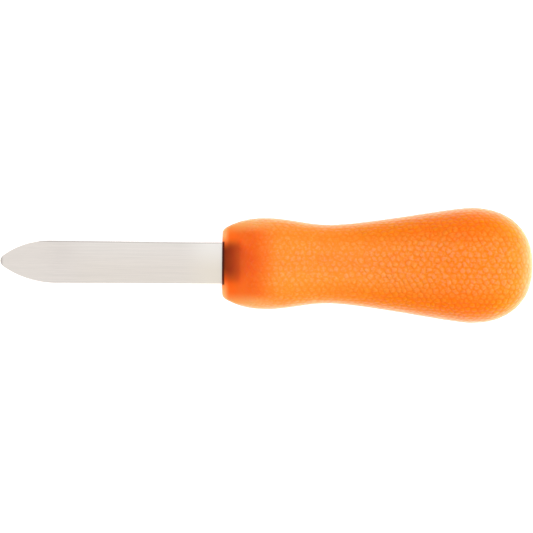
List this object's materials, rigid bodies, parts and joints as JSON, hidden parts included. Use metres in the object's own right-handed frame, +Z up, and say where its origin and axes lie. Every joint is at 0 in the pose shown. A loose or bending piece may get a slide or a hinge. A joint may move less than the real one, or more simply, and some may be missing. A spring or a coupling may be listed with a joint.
{
  "type": "oyster knife",
  "caption": "Oyster knife with a straight spear-pointed steel blade and a moulded orange plastic grip that swells at the nose and bulges at the butt.",
  "frame": {"origin": "centre of the underside of the overall box, on the surface that the knife lies on", "axes": "+Z up, +X along the knife from the tip of the blade to the butt of the handle, +Y across it; the knife lies on its front crest and its butt bulb, so its own axis leans 3.3 degrees tip down"},
  "size_m": [0.1662, 0.036, 0.0304],
  "materials": {
    "blade_steel": "ground satin stainless steel, grain along the blade",
    "handle_plastic": "translucent orange polypropylene, smooth at the nose and pebbled behind it"
  },
  "bodies": {
    "root": {"blade": "blade_steel", "handle": "handle_plastic"}
  },
  "joints": []
}
